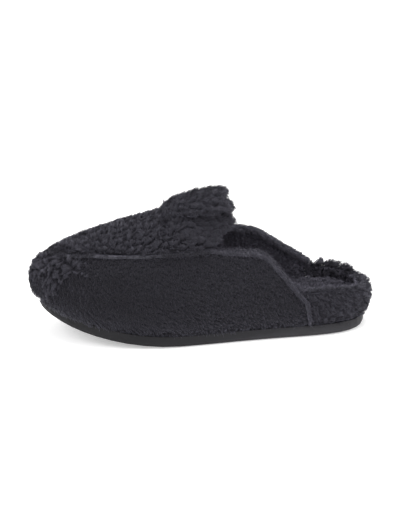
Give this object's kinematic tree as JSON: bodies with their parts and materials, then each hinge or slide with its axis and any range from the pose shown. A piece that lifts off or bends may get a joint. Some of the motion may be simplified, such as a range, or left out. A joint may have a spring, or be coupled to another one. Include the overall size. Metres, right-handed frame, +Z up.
{
  "type": "slipper",
  "caption": "Backless fluffy house slipper for the left foot: long-pile upper with a standing instep tab, contoured footbed with a soft heel roll, thin grooved outsole.",
  "frame": {"origin": "middle of the slipper's box, on the floor that the outsole stands on", "axes": "+X towards the heel, so the toe points to -X; +Y towards the inner (medial) side of the foot; +Z up"},
  "size_m": [0.266, 0.1052, 0.1127],
  "materials": {
    "long_pile": "long black faux-fur pile, bluish cast, faint sheen on the tufts",
    "short_pile": "shorter, combed black faux-fur pile",
    "fleece_lining": "dense black fleece",
    "edge_binding": "rolled pile edge, a little lighter than the panels",
    "soft_foam": "open-cell interlining foam",
    "toe_stiffener": "matt thermoplastic sheet",
    "insole_board": "pressed fibre board",
    "footbed_foam": "moulded cork and foam mix",
    "outsole_rubber": "matt black blown rubber"
  },
  "bodies": {
    "root": {"outsole": "outsole_rubber", "insole_board": "insole_board", "footbed_core": "footbed_foam", "footbed_cover": "fleece_lining", "heel_wrap": "long_pile", "heel_pad": "soft_foam", "apron_shell": "long_pile", "apron_foam": "soft_foam", "apron_lining": "fleece_lining", "toe_puff": "toe_stiffener", "quarter_lateral": "short_pile", "quarter_medial": "short_pile", "quarter_foam_lateral": "soft_foam", "quarter_foam_medial": "soft_foam", "quarter_lining_lateral": "fleece_lining", "quarter_lining_medial": "fleece_lining", "topline_binding_lateral": "edge_binding", "topline_binding_medial": "edge_binding", "seam_piping_lateral": "edge_binding", "seam_piping_medial": "edge_binding"},
    "tongue": {"tongue_shell": "long_pile", "tongue_foam": "soft_foam", "tongue_lining": "fleece_lining", "tongue_cuff": "long_pile"}
  },
  "joints": [
    {"name": "tongue_lift", "type": "hinge", "parent": "root", "child": "tongue", "pos_m": [-0.0226, 0, 0.0988], "axis": [0, -1, 0], "range_deg": [0, 30], "stiffness_Nm_per_rad": 0.03}
  ]
}
